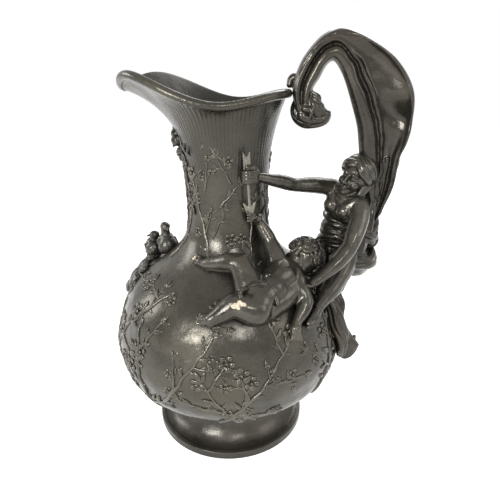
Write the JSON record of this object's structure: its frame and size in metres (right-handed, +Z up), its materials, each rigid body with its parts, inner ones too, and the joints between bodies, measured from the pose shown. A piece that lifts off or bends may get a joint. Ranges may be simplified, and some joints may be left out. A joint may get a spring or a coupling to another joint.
{
  "type": "pewter ewer",
  "caption": "Free-standing cast pewter ewer: round belly on a hollow foot, tall neck, waved pouring lip, and a handle made of a woman, a child and a billow of cloth.",
  "frame": {"origin": "centre of the foot's underside, on the table", "axes": "+Z up along the neck, +X from the axis towards the handle, -X towards the spout, +Y by the right-hand rule"},
  "size_m": [0.2382, 0.1964, 0.3387],
  "materials": {
    "vessel_pewter": "dark patinated pewter, satin, with rubbed highlights",
    "drapery_pewter": "dark patinated pewter with bright rubbed folds",
    "figure_pewter": "dark patinated pewter, rubbed brighter on the raised forms",
    "ornament_pewter": "dark patinated pewter, chased detail"
  },
  "bodies": {
    "root": {"foot_ring": "vessel_pewter", "lower_bowl": "vessel_pewter", "upper_bowl": "vessel_pewter", "neck_tube": "vessel_pewter", "pouring_lip": "vessel_pewter", "handle_drapery": "drapery_pewter", "handle_strap": "drapery_pewter", "handle_knot": "drapery_pewter", "woman_torso": "figure_pewter", "woman_head": "figure_pewter", "woman_right_arm": "figure_pewter", "woman_left_arm": "figure_pewter", "woman_left_leg": "figure_pewter", "woman_skirt": "drapery_pewter", "skirt_tails": "drapery_pewter", "child_torso": "figure_pewter", "child_head": "figure_pewter", "child_right_arm": "figure_pewter", "child_left_arm": "figure_pewter", "child_right_leg": "figure_pewter", "child_left_leg": "figure_pewter", "arrow": "ornament_pewter", "shoulder_ledge": "ornament_pewter", "left_dove": "ornament_pewter", "right_dove": "ornament_pewter", "spout_spray": "ornament_pewter"}
  },
  "joints": []
}
